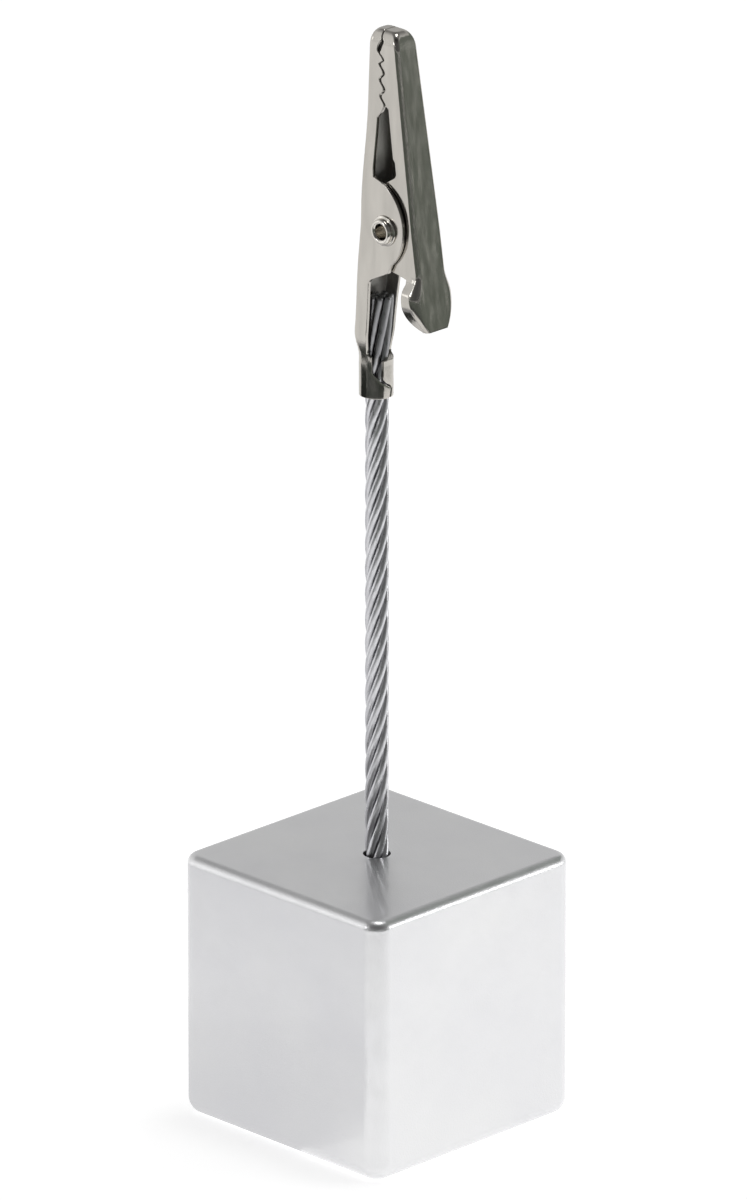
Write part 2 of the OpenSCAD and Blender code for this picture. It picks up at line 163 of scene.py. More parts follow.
# Ears of the fixed jaw
EAR_HALF = 2.12
EAR_R = 4.4
EAR_BACK = 2.1
EAR_UP = 0.2
EAR_END = -48
EAR_FLAT = 2
EAR_LOW = -3
EAR_FOOT = -5.3
EAR_FOOT_RISE = 0.3
EAR_START_RISE = 0.2
EAR_STEPS = 32
# Heel below the ear's arc, as a height over the pivot and a distance in front of it
EAR_HEEL = (-3.87, 0.47)

# Moving jaw's boss and thumb lever
LEVER_HALF = 1.72
LEVER_LENGTH = 8.65
BOSS_R = 1.75
BOSS_TURNS = (120, 240)
BOSS_STEPS = 12
# Shoulder over the boss and throat below it, as heights over the pivot and distances in front of it
BOSS_SHOULDER = (4.2, -0.4)
LEVER_THROAT = ((-3.7, 0.1), (-3.85, 1.1))
PAD_HALF = 2.5
PAD_END_HALF = 1.4
PAD_CREST = 2.85
PAD_NECK = 5.3
PAD_BEND_R = 0.9
PAD_WALL = 2.4
PAD_ARC = 2.2
PAD_TOP = -4.1
PAD_STEPS = 12
PAD_LEAST_WALL = 0.2
# Between these heights the lever's free edges turn in, so that they pass between the ears of the open clip
TURN_IN = (-5, -4.3)

# Crimp's wings, as pairs of a height over the pivot and the angle round the rope at which the wing ends
NEAR_WING = [(-12.5, -66), (-14.1, -62), (-14.9, -30), (-15.1, -22), (-15.5, 14), (-16.5, 4)]
FAR_WING = [(-12.9, -24), (-14.6, -24), (-14.95, -16), (-15.5, 20), (-16.5, 10)]

# Rivet and spring
RIVET_SHANK_R = 1.05
RIVET_BORE_R = 0.7
RIVET_HEAD_R = 1.45
RIVET_HEAD = 0.25
RIVET_HEAD_EDGE = 0.1
RIVET_BORE_EDGE = 0.05
RIVET_FLANGE_R = 1.4
RIVET_FLANGE = 0.16
RIVET_RIM_R = 1.16
RIVET_RIM = 0.62
# Corner between the flange and the rim: its distance from the rim's side and from the flange
RIVET_GROOVE = (0.02, 0.03)
FLANGE_STEPS = 4
RIM_STEPS = 8
PIVOT_ROOM = 0.04
SPRING_WIRE = 0.4
SPRING_R = 1.5
SPRING_TURNS = 2
SPRING_LEG = 4.6
SPRING_HALF = 1.14
SPRING_SEAT = 0.26
SPRING_STEPS = 64
SPRING_SIDES = 12


# Mesh helpers


def ramp(value, low, high):
    """Share that rises smoothly from 0 at low to 1 at high."""
    share = min(1, max(0, (value - low) / (high - low)))
    return (1 - math.cos(math.pi * share)) / 2


def tan(angle):
    """Tangent of an angle in degrees."""
    return math.tan(math.radians(angle))


def polar(radius, angle):
    """X and Y of a point at an angle round the origin."""
    return radius * math.cos(math.radians(angle)), radius * math.sin(math.radians(angle))


def line_at(points, height):
    """Value at a height on a line of (height, value) points, which run downwards."""
    if height >= points[0][0]:
        return points[0][1]
    for (high, upper), (low, lower) in zip(points, points[1:]):
        if height >= low:
            return lower + (upper - lower) * (height - low) / max(high - low, 1e-6)
    return points[-1][1]


def spread(path, count):
    """As many points as count, evenly spaced along a path of X, Y points."""
    lengths = [0]
    for first, second in zip(path, path[1:]):
        lengths.append(lengths[-1] + math.dist(first, second))
    result = []
    for index in range(count):
        want = lengths[-1] * index / (count - 1)
        k = next(i for i in range(1, len(path)) if lengths[i] >= want - 1e-9)
        share = (want - lengths[k - 1]) / max(lengths[k] - lengths[k - 1], 1e-9)
        result.append(tuple(p + (q - p) * share for p, q in zip(path[k - 1], path[k])))
    return result


def add_object(name, data):
    """Object in the scene for a mesh, light or camera."""
    item = bpy.data.objects.new(name, data)
    bpy.context.scene.collection.objects.link(item)
    return item


def evaluated_mesh(draft):
    """Copy of a draft's mesh with its modifiers applied."""
    depsgraph = bpy.context.evaluated_depsgraph_get()
    return bpy.data.meshes.new_from_object(draft.evaluated_get(depsgraph))


def apply_modifier(draft, modifier):
    """Makes the shape that a modifier gives to a draft its mesh."""
    shaped, spent = evaluated_mesh(draft), draft.data
    draft.modifiers.remove(modifier)
    draft.data = shaped
    bpy.data.meshes.remove(spent)


def piece_from(name, bm, materials, sharp=35, modify=None):
    """Object from a mesh in millimetres, changed by modify and shaded smooth up to the sharp angle."""
    mesh = bpy.data.meshes.new(name)
    bm.to_mesh(mesh)
    bm.free()
    for material in materials:
        mesh.materials.append(material)
    draft = add_object(name + "_draft", mesh)
    if modify:
        modify(draft)
    spent = draft.data
    spent.polygons.foreach_set("use_smooth", [True] * len(spent.polygons))
    spent.set_sharp_from_angle(angle=math.radians(sharp))
    normals = draft.modifiers.new("normals", "WEIGHTED_NORMAL")
    normals.keep_sharp = True
    shaped = evaluated_mesh(draft)
    bpy.data.objects.remove(draft)
    bpy.data.meshes.remove(spent)
    shaped.name = name
    shaped.transform(Matrix.Scale(MM, 4))
    return add_object(name, shaped)


def lathe(bm, profile, centre, axis_turn):
    """Closed ring swept round Z from a closed profile of (radius, height) points, turned and put in place."""
    rings = []
    for side in range(ROUND_SIDES):
        c, s = polar(1, 360 * side / ROUND_SIDES)
        rings.append([bm.verts.new(centre + axis_turn @ Vector((r * c, r * s, h))) for r, h in profile])
    for ring, following in zip(rings, rings[1:] + rings[:1]):
        for i in range(len(profile)):
            j = (i + 1) % len(profile)
            bm.faces.new((ring[i], following[i], following[j], ring[j]))


def join_rings(bm, rings):
    """Closed skin over rings of as many points each, with a flat end at each end."""
    for ring, following in zip(rings, rings[1:]):
        for i in range(len(ring)):
            j = (i + 1) % len(ring)
            bm.faces.new((ring[i], ring[j], following[j], following[i]))
    bm.faces.new(rings[0][::-1])
    bm.faces.new(rings[-1])


def tube(bm, path, radius, sides):
    """Closed tube along a path of points, with a flat end at each end."""
    rings = []
    side = (path[1] - path[0]).orthogonal()
    for k, point in enumerate(path):
        along = (path[min(k + 1, len(path) - 1)] - path[max(k - 1, 0)]).normalized()
        side = (side - along * side.dot(along)).normalized()
        other = along.cross(side)
        turns = [polar(radius, 360 * i / sides) for i in range(sides)]
        rings.append([bm.verts.new(point + side * c + other * s) for c, s in turns])
    join_rings(bm, rings)


# Materials

# Values between which most of a noise lies
NOISE_SPAN = (0.32, 0.68)


def surface(name, colour, metallic, roughness):
    """New material and its shader."""
    material = bpy.data.materials.new(name)
    material.use_nodes = True
    shader = material.node_tree.nodes["Principled BSDF"]
    shader.inputs["Base Color"].default_value = (*colour, 1)
    shader.inputs["Metallic"].default_value = metallic
    shader.inputs["Roughness"].default_value = roughness
    return material, shader


def noise(material, patches, detail=3):
    """Noise in the piece's own coordinates, with as many patches per millimetre along X, Y and Z."""
    tree = material.node_tree
    place = tree.nodes.new("ShaderNodeTexCoord")
    mapping = tree.nodes.new("ShaderNodeMapping")
    mapping.inputs["Scale"].default_value = [count / MM for count in patches]
    texture = tree.nodes.new("ShaderNodeTexNoise")
    texture.inputs["Scale"].default_value = 1
    texture.inputs["Detail"].default_value = detail
    tree.links.new(place.outputs["Object"], mapping.inputs["Vector"])
    tree.links.new(mapping.outputs["Vector"], texture.inputs["Vector"])
    return texture.outputs["Fac"]


def multiplied(tree, first, second):
    """Colour that is the product of two."""
    mix = tree.nodes.new("ShaderNodeMix")
    mix.data_type = "RGBA"
    mix.blend_type = "MULTIPLY"
    mix.inputs["Factor"].default_value = 1
    tree.links.new(first, mix.inputs["A"])
    tree.links.new(second, mix.inputs["B"])
    return mix.outputs["Result"]


def between(tree, value, low, high, first, last):
    """Value that runs from first to last while another runs from low to high."""
    span = tree.nodes.new("ShaderNodeMapRange")
    for socket, level in (("From Min", low), ("From Max", high), ("To Min", first), ("To Max", last)):
        span.inputs[socket].default_value = level
    tree.links.new(value, span.inputs["Value"])
    return span.outputs["Result"]


def vary_colour(material, shader, value, dark, light):
    """Lets the colour run from dark to light with a noise's value."""
    tree = material.node_tree
    colours = tree.nodes.new("ShaderNodeValToRGB")
    for element, position, colour in zip(colours.color_ramp.elements, NOISE_SPAN, (dark, light)):
        element.position = position
        element.color = (*colour, 1)
    tree.links.new(value, colours.inputs["Fac"])
    tree.links.new(colours.outputs["Color"], shader.inputs["Base Color"])


def darken_above(material, shader, start, end, share):
    """Lets the shader's colour fall to a share of itself between two heights in millimetres."""
    tree = material.node_tree
    place = tree.nodes.new("ShaderNodeTexCoord")
    parts = tree.nodes.new("ShaderNodeSeparateXYZ")
    tree.links.new(place.outputs["Object"], parts.inputs["Vector"])
    fall = between(tree, parts.outputs["Z"], start * MM, end * MM, 1, share)
    colour = shader.inputs["Base Color"].links[0].from_socket
    tree.links.new(multiplied(tree, colour, fall), shader.inputs["Base Color"])


def vary_roughness(material, shader, value, low, high):
    """Lets the roughness run from low to high with a noise's value."""
    tree = material.node_tree
    tree.links.new(between(tree, value, *NOISE_SPAN, low, high), shader.inputs["Roughness"])


def add_bump(material, shader, value, height):
    """Bump of a height in millimetres, over any bump that the shader has already."""
    tree = material.node_tree
    bump = tree.nodes.new("ShaderNodeBump")
    bump.inputs["Distance"].default_value = height * MM
    tree.links.new(value, bump.inputs["Height"])
    for link in shader.inputs["Normal"].links:
        tree.links.new(link.from_socket, bump.inputs["Normal"])
    tree.links.new(bump.outputs["Normal"], shader.inputs["Normal"])


def satin_aluminium():
    """Fine blasted surface under a clear, glossier anodised skin: cloudy roughness over a fine grain."""
    material, shader = surface("satin_aluminium", (0.8, 0.8, 0.81), 1, 0.38)
    shader.inputs["Coat Weight"].default_value = 1
    shader.inputs["Coat Roughness"].default_value = 0.12
    shader.inputs["Coat IOR"].default_value = 1.8
    clouds = noise(material, (0.12, 0.12, 0.12))
    vary_colour(material, shader, clouds, (0.79, 0.79, 0.805), (0.83, 0.83, 0.835))
    vary_roughness(material, shader, noise(material, (0.5, 0.5, 0.5)), 0.34, 0.42)
    add_bump(material, shader, noise(material, (6, 6, 6)), 0.022)
    return material


def drawn_wire(name, dark, light):
    """Bright drawn steel wire with fine marks along it."""
    material, shader = surface(name, light, 1, 0.25)
    vary_colour(material, shader, noise(material, (1.2, 1.2, 0.4)), dark, light)
    vary_roughness(material, shader, noise(material, (5, 5, 1)), 0.26, 0.4)
    add_bump(material, shader, noise(material, (14, 14, 1.5)), 0.006)
    return material


def rope_wire():
    """Drawn wire with painted shade: its colour darkens where the clip's tail holds it, for the shade that
    the tail's walls cast on it.
    """
    material = drawn_wire("rope_wire", (0.61, 0.61, 0.63), (0.74, 0.74, 0.76))
    tail_z = PIVOT.z - TAIL_LENGTH
    shader = material.node_tree.nodes["Principled BSDF"]
    # Painted shade: the wire's colour falls inside the clip's tail, where its walls shade it
    darken_above(material, shader, tail_z - TAIL_SHADE_REACH, tail_z + TAIL_SHADE_REACH, TAIL_SHADE_SHARE)
    return material


def nickel_plate(name, dark, light):
    """Nickel plated sheet: soft rolling marks along the clip under a slightly cloudy plating."""
    material, shader = surface(name, light, 1, 0.2)
    vary_colour(material, shader, noise(material, (0.9, 0.9, 0.18)), dark, light)
    vary_roughness(material, shader, noise(material, (2, 2, 0.4)), 0.1, 0.18)
    add_bump(material, shader, noise(material, (1.8, 1.8, 0.7)), 0.012)
    return material


def dull_nickel():
    """Inside of the clip, where the plating is thin and unpolished."""
    dark, light = (0.43, 0.42, 0.4), (0.52, 0.505, 0.48)
    material, shader = surface("dull_nickel", light, 1, 0.5)
    vary_colour(material, shader, noise(material, (1.2, 1.2, 0.5)), dark, light)
    vary_roughness(material, shader, noise(material, (2, 2, 1)), 0.44, 0.58)
    return material


def bright_nickel(name, dark, light):
    """Nickel on drawn brass: smooth, with faint clouds."""
    material, shader = surface(name, light, 1, 0.16)
    vary_colour(material, shader, noise(material, (1.5, 1.5, 1.5)), dark, light)
    vary_roughness(material, shader, noise(material, (4, 4, 4)), 0.1, 0.2)
    return material


def set_adhesive():
    """Hardened adhesive: glossy, dull grey, with bubbles and runs."""
    material, shader = surface("set_adhesive", (0.12, 0.12, 0.11), 0, 0.3)
    vary_colour(material, shader, noise(material, (1.5, 1.5, 0.8)), (0.07, 0.07, 0.065), (0.16, 0.16, 0.145))
    add_bump(material, shader, noise(material, (2.5, 2.5, 2.5)), 0.05)
    return material


# Block


def cut_hole(draft, radius, start, end):
    """Drills a round hole from one point to another through a draft."""
    cutter_bm = bmesh.new()
    along = end - start
    turn = along.to_track_quat("Z", "Y").to_matrix().to_4x4()
    place = Matrix.Translation((start + end) / 2) @ turn
    bmesh.ops.create_cone(cutter_bm, cap_ends=True, segments=ROUND_SIDES, radius1=radius, radius2=radius,
                          depth=along.length, matrix=place)
    mesh = bpy.data.meshes.new("cutter")
    cutter_bm.to_mesh(mesh)
    cutter_bm.free()
    cutter = add_object("cutter", mesh)
    hole = draft.modifiers.new("hole", "BOOLEAN")
    hole.operation = "DIFFERENCE"
    hole.solver = "EXACT"
    hole.object = cutter
    apply_modifier(draft, hole)
    bpy.data.objects.remove(cutter)
    bpy.data.meshes.remove(mesh)


def bevel_edges(draft, width, segments, angle):
    """Bevels the sharp edges of a draft, and puts the corners that overshoot back on its surface."""
    points = [vertex.co.copy() for vertex in draft.data.vertices]
    faces = BVHTree.FromPolygons(points, [face.vertices for face in draft.data.polygons])
    bevel = draft.modifiers.new("bevel", "BEVEL")
    bevel.width = width
    bevel.segments = segments
    bevel.limit_method = "ANGLE"
    bevel.angle_limit = math.radians(angle)
    bevel.use_clamp_overlap = False
    apply_modifier(draft, bevel)
    for vertex in draft.data.vertices:
        place, normal, face, distance = faces.find_nearest(vertex.co)
        if distance > width / 2:
            vertex.co = place


def round_edges(bm, low, high, radius):
    """Rounds the edges whose ends lie at the heights low and high."""
    wanted = sorted((low, high))
    edges = [e for e in bm.edges if math.dist(sorted(v.co.z for v in e.verts), wanted) < 0.01]
    bmesh.ops.bevel(bm, geom=edges, offset=radius, segments=BLOCK_EDGE_STEPS, profile=0.5,
                    affect="EDGES", offset_type="OFFSET")


def make_block(material):
    """Block with rounded edges and a blind hole for the rope."""
    bm = bmesh.new()
    middle = Matrix.Translation((0, 0, BLOCK_HEIGHT / 2))
    stretch = Matrix.Diagonal((BLOCK_SIDE, BLOCK_SIDE, BLOCK_HEIGHT, 1))
    bmesh.ops.create_cube(bm, size=1, matrix=middle @ stretch)
    round_edges(bm, 0, BLOCK_HEIGHT, BLOCK_EDGE)
    round_edges(bm, BLOCK_HEIGHT, BLOCK_HEIGHT, BLOCK_TOP_EDGE)
    round_edges(bm, 0, 0, BLOCK_LOW_EDGE)

    def modify(draft):
        top = Vector((0, 0, BLOCK_HEIGHT + OVERCUT))
        cut_hole(draft, HOLE_R, Vector((0, 0, BLOCK_HEIGHT - HOLE_DEPTH)), top)
        bevel_edges(draft, HOLE_CHAMFER, segments=2, angle=60)

    block = piece_from("satin_block", bm, [material], modify=modify)
    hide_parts("base_block")
    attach(block, "base")


def dress_bond(material):
    """Gives the CAD solid of the adhesive, which shows as it is, its material."""
    bond = frame["nodes"]["stem_bond"]
    bond.data.materials.clear()
    bond.data.materials.append(material)


# Wire rope


def rope_x(z):
    """Middle of the rope: upright, then leaning with the tail."""
    return max(0, z - PIVOT.z + TAIL_LENGTH) * tan(TAIL_ANGLE)


def lay_turn(z):
    """Turn of the strands round the rope at a height."""
    tail_z = PIVOT.z - TAIL_LENGTH
    return 360 * ((min(z, tail_z) - ROPE_BOTTOM) / ROPE_LAY + max(0, z - tail_z) / TAIL_LAY)


def strand_point(z, start, path_r):
    """Point at a height on a strand that starts at a turn and runs at a radius round the rope's middle."""
    c, s = polar(path_r, start + lay_turn(z))
    return Vector((rope_x(z) + c, s, z))


def strand_bundle(bm, start, path_r):
    """One strand, with the ridges of its wires laid round it and shallow grooves between them."""
    steps = math.ceil((ROPE_TOP - ROPE_BOTTOM) / STRAND_STEP)
    heights = [ROPE_BOTTOM + (ROPE_TOP - ROPE_BOTTOM) * k / steps for k in range(steps)]
    heights += [ROPE_TOP - below for below, share in STRAND_END]
    steps = len(heights) - 1
    middle = [strand_point(z, start, path_r) for z in heights]
    radii = [STRAND_R - groove for groove in WIRE_GROOVE] * WIRES
    rings = []
    for k, z in enumerate(heights):
        along = (middle[min(k + 1, steps)] - middle[max(k - 1, 0)]).normalized()
        out = (strand_point(z, start, 1) - strand_point(z, start, 0)).normalized()
        out = (out - along * out.dot(along)).normalized()
        across = along.cross(out)
        turn = WIRE_TURN_PER_MM * (z - ROPE_BOTTOM)
        share = line_at(STRAND_END, ROPE_TOP - z)
        spokes = [polar(share * radius, turn + 360 * i / len(radii)) for i, radius in enumerate(radii)]
        rings.append([bm.verts.new(middle[k] + out * c + across * s) for c, s in spokes])
    join_rings(bm, rings)


def make_rope(material):
    """Core and strands, which bend between the block and the clip."""
    parts = [("rope_core", 0, 0)]
    parts += [(f"rope_strand_{n}", 360 * n / STRANDS, STRAND_PATH_R) for n in range(1, STRANDS + 1)]
    for node, start, path_r in parts:
        bm = bmesh.new()
        strand_bundle(bm, start, path_r)
        strand = piece_from(node + "_wires", bm, [material], sharp=70)
        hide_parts(node)
        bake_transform(strand)


# Clip: outlines of both jaws at a height a over the pivot


def fixed_back(a):
    """X of the fixed jaw's spine."""
    return BACK_X + a * tan(TAIL_ANGLE if a < 0 else JAW_LEAN)


def moving_back(a):
    """X of the moving jaw's spine."""
    return PIVOT.x + LEVER_RISE / math.cos(math.radians(JAW_ANGLE)) - a * tan(JAW_ANGLE)


def closing(a):
    """X of the line on which the rows of teeth meet."""
    return fixed_back(JAW_LENGTH) + NOSE_HEIGHT + (JAW_LENGTH - a) * (tan(JAW_ANGLE) - tan(JAW_LEAN)) / 2


def pad_half(up):
    """Half the thumb pad's width at a height over its end, up to the neck."""
    if up < PAD_CREST:
        return PAD_END_HALF + (PAD_HALF - PAD_END_HALF) * math.sin(math.pi / 2 * up / PAD_CREST)
    return PAD_HALF + (LEVER_HALF - PAD_HALF) * ramp(up, PAD_CREST, PAD_NECK)


def moving_bend(a):
    """Bend of the moving jaw, which grows at the pad."""
    up = a + LEVER_LENGTH
    share = ramp(up, 0, PAD_CREST) if up < PAD_CREST else 1 - ramp(up, PAD_CREST, PAD_NECK)
    return BEND_R + (PAD_BEND_R - BEND_R) * share


def moving_half(a):
    """Half the moving jaw's width."""
    if a < 0:
        return pad_half(a + LEVER_LENGTH)
    return LEVER_HALF + (TIP_HALF - LEVER_HALF) * a / JAW_LENGTH


def fixed_half(a):
    """Half the fixed jaw's width."""
    if a < EAR_FLAT:
        tail = CRIMP_R + (TAIL_HALF - CRIMP_R) * ramp(a, -TAIL_LENGTH, -TAIL_LENGTH + TAIL_ROUND)
        return tail + (EAR_HALF - TAIL_HALF) * ramp(a, -TAIL_LENGTH + TAIL_ROUND, EAR_LOW)
    return moving_half(a) + (EAR_HALF - moving_half(EAR_FLAT)) * (1 - ramp(a, EAR_FLAT, GAP_TOP))


def nose_in(a):
    """How far the rounded nose draws in."""
    over = a - JAW_LENGTH + NOSE_R
    return 0 if over < 0 else NOSE_R - math.sqrt(max(0, NOSE_R ** 2 - over ** 2))


def fixed_bend(a):
    """Bend of the fixed jaw, which grows round at the crimp."""
    grown = BEND_LIMIT * CRIMP_R - BEND_R
    return BEND_R + grown * (1 - ramp(a, -TAIL_LENGTH, -TAIL_LENGTH + TAIL_ROUND))


def tooth_row(side):
    """Wavy row of teeth as (height, X), from the tip down; side is -1 for the fixed jaw, 1 for the moving."""
    row = [(JAW_LENGTH, closing(JAW_LENGTH) + side * NOSE_GAP / 2)]
    for up, fixed, moving in FIRST_TOOTH:
        a = JAW_LENGTH - TOOTH_PITCH + up
        row.append((a, closing(a) + (moving if side > 0 else fixed)))
    marks = []
    for tooth in range(1, TOOTH_COUNT):
        notch = JAW_LENGTH - TOOTH_PITCH * (1 + tooth)
        marks += [(notch, -TOOTH_DEPTH / 2), (notch - TOOTH_STEP * TOOTH_PITCH, TOOTH_DEPTH / 2)]
    for (high, upper), (low, lower) in zip(marks, marks[1:]):
        for i in range(TOOTH_ROWS):
            a = high + (low - high) * i / TOOTH_ROWS
            wave = upper + (lower - upper) * ramp(i / TOOTH_ROWS, 0, 1)
            row.append((a, closing(a) + wave + side * TOOTH_GAP / 2))
    last, wave = marks[-1]
    return row + [(last, closing(last) + wave + side * TOOTH_GAP / 2)]


def fixed_edge():
    """Free edge of the fixed jaw's plates as (height, X), from the nose down to the tail."""
    gap_bottom = EAR_UP + EAR_R
    gap_back = fixed_back(GAP_TOP) + PLATE_HEIGHT
    edge = tooth_row(-1)
    edge += [(GAP_TOP - below, gap_back + rise) for below, rise in GAP_STEPS]
    edge.append((gap_bottom + GAP_SHOULDER, fixed_back(gap_bottom) + PLATE_HEIGHT))
    edge.append((gap_bottom + GAP_CORNER, gap_back - GAP_CORNER_DROP))
    ear_start = math.degrees(math.acos((PLATE_HEIGHT + EAR_START_RISE - PIVOT_RISE + EAR_BACK) / EAR_R))
    for i in range(EAR_STEPS + 1):
        c, s = polar(EAR_R, ear_start + (EAR_END - ear_start) * i / EAR_STEPS)
        edge.append((EAR_UP + s, PIVOT.x - EAR_BACK + c))
    foot = fixed_back(EAR_FOOT) + TAIL_WALL
    edge.append((EAR_HEEL[0], PIVOT.x + EAR_HEEL[1]))
    edge += [(EAR_FOOT + EAR_FOOT_RISE, foot + EAR_FOOT_RISE), (EAR_FOOT, foot)]
    edge.append((-TAIL_LENGTH, fixed_back(-TAIL_LENGTH) + TAIL_WALL))
    return edge


def moving_edge():
    """Free edge of the moving jaw's plates as (height, X), from the nose down to the lever's end."""
    edge = tooth_row(1)
    edge += [(a, moving_back(a) - MOVING_PLATE_HEIGHT + inward) for a, inward in MOVING_STEPS]
    edge.append((BOSS_SHOULDER[0], PIVOT.x + BOSS_SHOULDER[1]))
    start, end = BOSS_TURNS
    for i in range(BOSS_STEPS + 1):
        c, s = polar(BOSS_R, start + (end - start) * i / BOSS_STEPS)
        edge.append((s, PIVOT.x + c))
    low_back = moving_back(-LEVER_LENGTH)
    edge += [(a, PIVOT.x + front) for a, front in LEVER_THROAT]
    edge.append((PAD_TOP, low_back - PAD_WALL))
    for i in range(PAD_STEPS + 1):
        c, s = polar(1, 90 * i / PAD_STEPS)
        edge.append((-LEVER_LENGTH + PAD_ARC * (1 - s), low_back - PAD_WALL * c))
    return edge


# Clip: sheets bent from rows of points across the stem

WALL_POINTS = 9
BEND_POINTS = 6
SPINE_POINTS = 7
WING_POINTS = 12
NOSE_ROWS = 10
ROW_STEP = 0.3
LEAST_ROW_STEP = 0.012


def row_heights(edge, low):
    """Heights of the rows: each of the edge's own, regular ones between them and close ones at the nose."""
    heights = [a for a, x in edge if a > low] + [low]
    heights += [JAW_LENGTH - NOSE_R * (1 - math.sin(math.pi / 2 * i / NOSE_ROWS)) for i in range(NOSE_ROWS)]
    count = math.ceil((JAW_LENGTH - low) / ROW_STEP)
    heights += [low + (JAW_LENGTH - low) * i / count for i in range(count)]
    kept = []
    for a in sorted(set(heights)):
        if not kept or a - kept[-1] > LEAST_ROW_STEP:
            kept.append(a)
    return kept


def half_section(wall, half, bend, back, facing):
    """X, Y points from a free edge along a wall, round the bend and to the spine's middle, for positive Y."""
    points = spread(wall, WALL_POINTS)
    for i in range(1, BEND_POINTS + 1):
        c, s = polar(bend, 90 * (1 - i / BEND_POINTS))
        points.append((back + facing * bend * (1 - c / bend), half - bend + s))
    for i in range(1, SPINE_POINTS + 1):
        points.append((back, (half - bend) * (1 - i / SPINE_POINTS)))
    return points


def wing(a, half, back, bend, ends, side):
    """Path of one of the crimp's wings, from its end at the front round to the bend, for positive Y."""
    middle = rope_x(PIVOT.z + a)
    end = line_at(ends, a) * side
    front = [polar(half, end + (90 - end) * i / WING_POINTS) for i in range(WING_POINTS + 1)]
    return [(middle + x, y) for x, y in front] + [(back + bend, half)]


def fixed_row(a, edge, side):
    """Half a row of the fixed jaw, on the side of -Y or +Y, given for positive Y."""
    half = fixed_half(max(a, -TAIL_LENGTH)) - NOSE_SIDE * nose_in(a)
    back = fixed_back(max(a, -TAIL_LENGTH)) + NOSE_BACK * nose_in(a)
    bend = min(fixed_bend(a), BEND_LIMIT * half)
    ends = NEAR_WING if side < 0 else FAR_WING
    if a <= ends[0][0]:
        wall = wing(a, half, back, bend, ends, side)
    else:
        wall = [(line_at(edge, a), half), (back + bend, half)]
    return half_section(wall, half, bend, back, 1)


def moving_row(a, edge, side):
    """Half a row of the moving jaw, which is the same on both sides."""
    half = moving_half(a) - NOSE_SIDE * nose_in(a)
    back = moving_back(a) - NOSE_BACK * nose_in(a)
    bend = min(moving_bend(a), BEND_LIMIT * half)
    open_half = LEVER_HALF if a < 0 else half
    free = min(line_at(edge, a), back - bend - PAD_LEAST_WALL)
    lean = (open_half - half) / (back - bend - BACK_X)
    free_half = half + lean * (back - bend - free)
    free_half += (open_half - free_half) * ramp(a, *TURN_IN)
    wall = [(free, free_half), (back - bend, half)]
    return half_section(wall, half, bend, back, -1)


def bent_sheet(row, edge, low, outward):
    """Outer face of a jaw: a grid of rows, closed over the nose."""
    bm = bmesh.new()
    grid = []
    for a in row_heights(edge, low):
        near = [(x, -y) for x, y in row(a, edge, -1)]
        far = row(a, edge, 1)[:-1]
        points = near + far[::-1]
        grid.append([bm.verts.new((x, y, PIVOT.z + a)) for x, y in points])
    for lower, upper in zip(grid, grid[1:]):
        for i in range(len(lower) - 1):
            face = (lower[i], lower[i + 1], upper[i + 1], upper[i])
            bm.faces.new(face if outward else face[::-1])
    bm.faces.new(grid[-1] if outward else grid[-1][::-1])
    return bm


def thicken(bm):
    """Makes a face into a sheet, with an inner face in the second material and a rim round its edges."""
    bm.normal_update()
    outer = list(bm.faces)
    rim = [edge for edge in bm.edges if edge.is_boundary]
    inner = {}
    for v in list(bm.verts):
        depth = SHEET * min(v.calc_shell_factor(), BEND_THICKENING)
        inner[v] = bm.verts.new(v.co - v.normal * depth)
    for face in outer:
        lining = bm.faces.new([inner[v] for v in reversed(face.verts)])
        lining.material_index = 1
    for edge in rim:
        loop = edge.link_loops[0]
        first, second = loop.vert, loop.link_loop_next.vert
        bm.faces.new((second, first, inner[first], inner[second]))


def make_jaw(name, node, body, bm, hole_r, materials):
    """Sheet jaw from its outer face, with the rivet's hole and softened edges."""
    thicken(bm)

    def modify(draft):
        wide = Vector((0, 2 * EAR_HALF, 0))
        cut_hole(draft, hole_r, PIVOT - wide, PIVOT + wide)
        bevel_edges(draft, EDGE_BEVEL, segments=3, angle=50)

    jaw = piece_from(name, bm, materials, modify=modify)
    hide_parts(node)
    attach(jaw, body)


def make_jaws(materials):
    """Both jaws, in the materials of their outer and inner faces."""
    fixed = bent_sheet(fixed_row, fixed_edge(), CRIMP_LOW, False)
    make_jaw("fixed_jaw_sheet", "fixed_jaw", "clip", fixed, RIVET_SHANK_R, materials)
    moving = bent_sheet(moving_row, moving_edge(), -LEVER_LENGTH, True)
    make_jaw("moving_jaw_sheet", "moving_jaw", "jaw", moving, RIVET_SHANK_R + PIVOT_ROOM, materials)


def make_rivet(material):
    """Hollow rivet across the clip: a flat head towards +Y and a flanged, rolled rim towards -Y."""
    head = -EAR_HALF - RIVET_HEAD
    lip = (RIVET_RIM_R - RIVET_BORE_R) / 2
    flange = RIVET_FLANGE / 2
    groove, groove_height = RIVET_GROOVE
    profile = [(RIVET_BORE_R, head + RIVET_BORE_EDGE), (RIVET_BORE_R + RIVET_BORE_EDGE, head)]
    profile += [(RIVET_HEAD_R - RIVET_HEAD_EDGE, head), (RIVET_HEAD_R, head + RIVET_HEAD_EDGE)]
    profile += [(RIVET_HEAD_R, -EAR_HALF), (RIVET_SHANK_R, -EAR_HALF), (RIVET_SHANK_R, EAR_HALF)]
    for i in range(FLANGE_STEPS + 1):
        c, s = polar(flange, 180 * i / FLANGE_STEPS - 90)
        profile.append((RIVET_FLANGE_R - flange + c, EAR_HALF + flange + s))
    profile.append((RIVET_RIM_R + groove, EAR_HALF + RIVET_FLANGE + groove_height))
    for i in range(RIM_STEPS + 1):
        c, s = polar(lip, 180 * i / RIM_STEPS)
        profile.append((RIVET_BORE_R + lip + c, EAR_HALF + RIVET_RIM - lip + s))
    bm = bmesh.new()
    lathe(bm, profile, PIVOT, Matrix.Rotation(math.pi / 2, 3, "X"))
    rivet = piece_from("hollow_rivet", bm, [material], sharp=50)
    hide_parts("pivot_rivet")
    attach(rivet, "clip")


